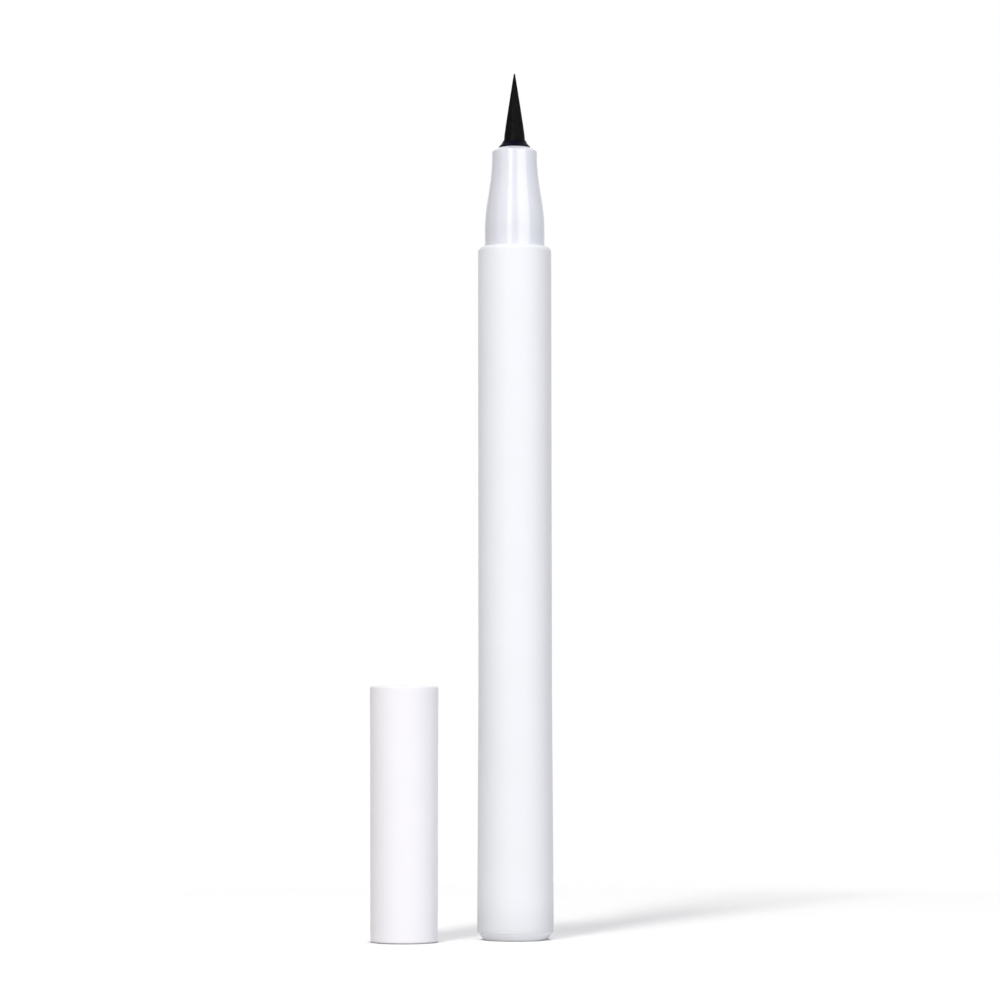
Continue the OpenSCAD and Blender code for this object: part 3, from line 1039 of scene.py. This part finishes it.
bpy.ops.object.select_all(action="DESELECT")
bpy.ops.mesh.primitive_plane_add(size=FLOOR_SIZE)
floor = bpy.context.object
floor.name = "studio_floor"
surface = bpy.data.materials.new("studio floor")
surface.use_nodes = True
floor.data.materials.append(surface)
nodes, links = surface.node_tree.nodes, surface.node_tree.links
nodes.remove(nodes["Principled BSDF"])
print("the floor is", FLOOR_SIZE, "m wide")

# %% [markdown]
# The photograph's shadow is dark along its middle and melts away at its sides. A bigger lamp
# would blur it too, but would also shorten it. A milky sheet does it without that: light goes in
# and comes out a little way off. Some plain white keeps the shadow's middle clear, and a weak
# glow lifts the lit floor until it just reaches white, while the shadow stays grey.

# %% Milky floor
MILKY_WHITE = (0.965, 0.965, 0.965, 1)
MILKY_DEPTH = 52 * MM
PLAIN_WHITE = (0.42, 0.42, 0.42, 1)
GLOW = 0.165

milky = nodes.new("ShaderNodeSubsurfaceScattering")
milky.falloff = "BURLEY"
milky.inputs["Color"].default_value = MILKY_WHITE
milky.inputs["Scale"].default_value = MILKY_DEPTH
milky.inputs["Radius"].default_value = (1, 1, 1)
plain = nodes.new("ShaderNodeBsdfDiffuse")
plain.inputs["Color"].default_value = PLAIN_WHITE
lit = nodes.new("ShaderNodeAddShader")
links.new(milky.outputs[0], lit.inputs[0])
links.new(plain.outputs[0], lit.inputs[1])
glow = nodes.new("ShaderNodeEmission")
glow.inputs["Strength"].default_value = GLOW
bright = nodes.new("ShaderNodeAddShader")
links.new(lit.outputs[0], bright.inputs[0])
links.new(glow.outputs[0], bright.inputs[1])
print("the floor glows with", GLOW)

# %% [markdown]
# Close to where the feet touch it the floor is dark, and the milky sheet has washed that out.
# Ambient occlusion says how open the place above a point is, so it brings a short shade back.

# %% Contact shade
CONTACT_REACH = 0.7 * MM
CONTACT_SAMPLES = 16

contact = nodes.new("ShaderNodeAmbientOcclusion")
contact.samples = CONTACT_SAMPLES
contact.inputs["Distance"].default_value = CONTACT_REACH
dark = nodes.new("ShaderNodeEmission")
dark.inputs["Strength"].default_value = 0
near = nodes.new("ShaderNodeMixShader")
links.new(contact.outputs["AO"], near.inputs["Fac"])
links.new(dark.outputs[0], near.inputs[1])
links.new(bright.outputs[0], near.inputs[2])
print("the contact shade reaches", round(CONTACT_REACH / MM, 2), "mm")

# %% [markdown]
# Further off the photograph's floor is plain white, and its shadow ends earlier than this one
# would. So the floor turns into plain white there. The whiteness of each point comes from its
# distance to the pen, by a ramp with a few stops.

# %% White far from the pen
FADE_END = 165 * MM
FADE_STOPS = ((70 * MM, 0), (105 * MM, 0.29), (132 * MM, 0.36), (FADE_END, 1))

place = nodes.new("ShaderNodeTexCoord")
reach = nodes.new("ShaderNodeVectorMath")
reach.operation = "LENGTH"
share = nodes.new("ShaderNodeMapRange")
share.inputs["From Max"].default_value = FADE_END
fade = nodes.new("ShaderNodeValToRGB")
stops = fade.color_ramp.elements
while len(stops) < len(FADE_STOPS):
    stops.new(0.5)
for stop, (distance, whiteness) in zip(stops, FADE_STOPS):
    stop.position = distance / FADE_END
    stop.color = (whiteness, whiteness, whiteness, 1)
links.new(place.outputs["Object"], reach.inputs[0])
links.new(reach.outputs["Value"], share.inputs["Value"])
links.new(share.outputs["Result"], fade.inputs["Fac"])
far = nodes.new("ShaderNodeEmission")
far.inputs["Strength"].default_value = 1
seen = nodes.new("ShaderNodeMixShader")
links.new(fade.outputs["Color"], seen.inputs["Fac"])
links.new(near.outputs[0], seen.inputs[1])
links.new(far.outputs[0], seen.inputs[2])
print("floor is plain white from", round(FADE_END / MM), "mm away from the pen")

# %% [markdown]
# All that is for the camera and for reflections. Scattered light sees an ordinary pale floor,
# dark only in the narrow corner under an edge, so the pen gets the light of a plain floor.

# %% Floor for scattered light
FLOOR_COLOUR = (0.84, 0.84, 0.85, 1)
CORNER_REACH = 0.2 * MM
CORNER_SAMPLES = 4

corner = nodes.new("ShaderNodeAmbientOcclusion")
corner.samples = CORNER_SAMPLES
corner.inputs["Color"].default_value = FLOOR_COLOUR
corner.inputs["Distance"].default_value = CORNER_REACH
pale = nodes.new("ShaderNodeBsdfDiffuse")
links.new(corner.outputs["Color"], pale.inputs["Color"])
ground = nodes.new("ShaderNodeMixShader")
links.new(seen_directly(nodes, links), ground.inputs["Fac"])
links.new(pale.outputs[0], ground.inputs[1])
links.new(seen.outputs[0], ground.inputs[2])
links.new(ground.outputs[0], nodes["Material Output"].inputs["Surface"])
print("scattered light sees a floor of", FLOOR_COLOUR[:3])

# %% [markdown]
# ## Lamps that pass the floor by
#
# Each softbox would throw a faint shadow of its own, and the photograph shows one shadow only.
# Light linking tells a lamp what it may light. The softboxes and the key lamp light everything
# but the floor, and the floor's glow stands in for them. The floor lamp lights the floor alone,
# so its shadow can be matched without a change to the light on the pen.

# %% Light linking
all_but_floor = bpy.data.collections.new("all but the floor")
all_but_floor.objects.link(floor)
all_but_floor.collection_objects[0].light_linking.link_state = "EXCLUDE"
pen_lamps = (left_box, right_box, back_box, key_lamp)
for pen_lamp in pen_lamps:
    pen_lamp.light_linking.receiver_collection = all_but_floor
floor_alone = bpy.data.collections.new("the floor alone")
floor_alone.objects.link(floor)
floor_lamp.light_linking.receiver_collection = floor_alone
print("lamps that pass the floor by:", [pen_lamp.name for pen_lamp in pen_lamps])

# %% [markdown]
# ## Closing the scene
#
# Colours are shown as they are written, with no film look on top.

# %% Colour
bpy.context.scene.view_settings.view_transform = "Standard"
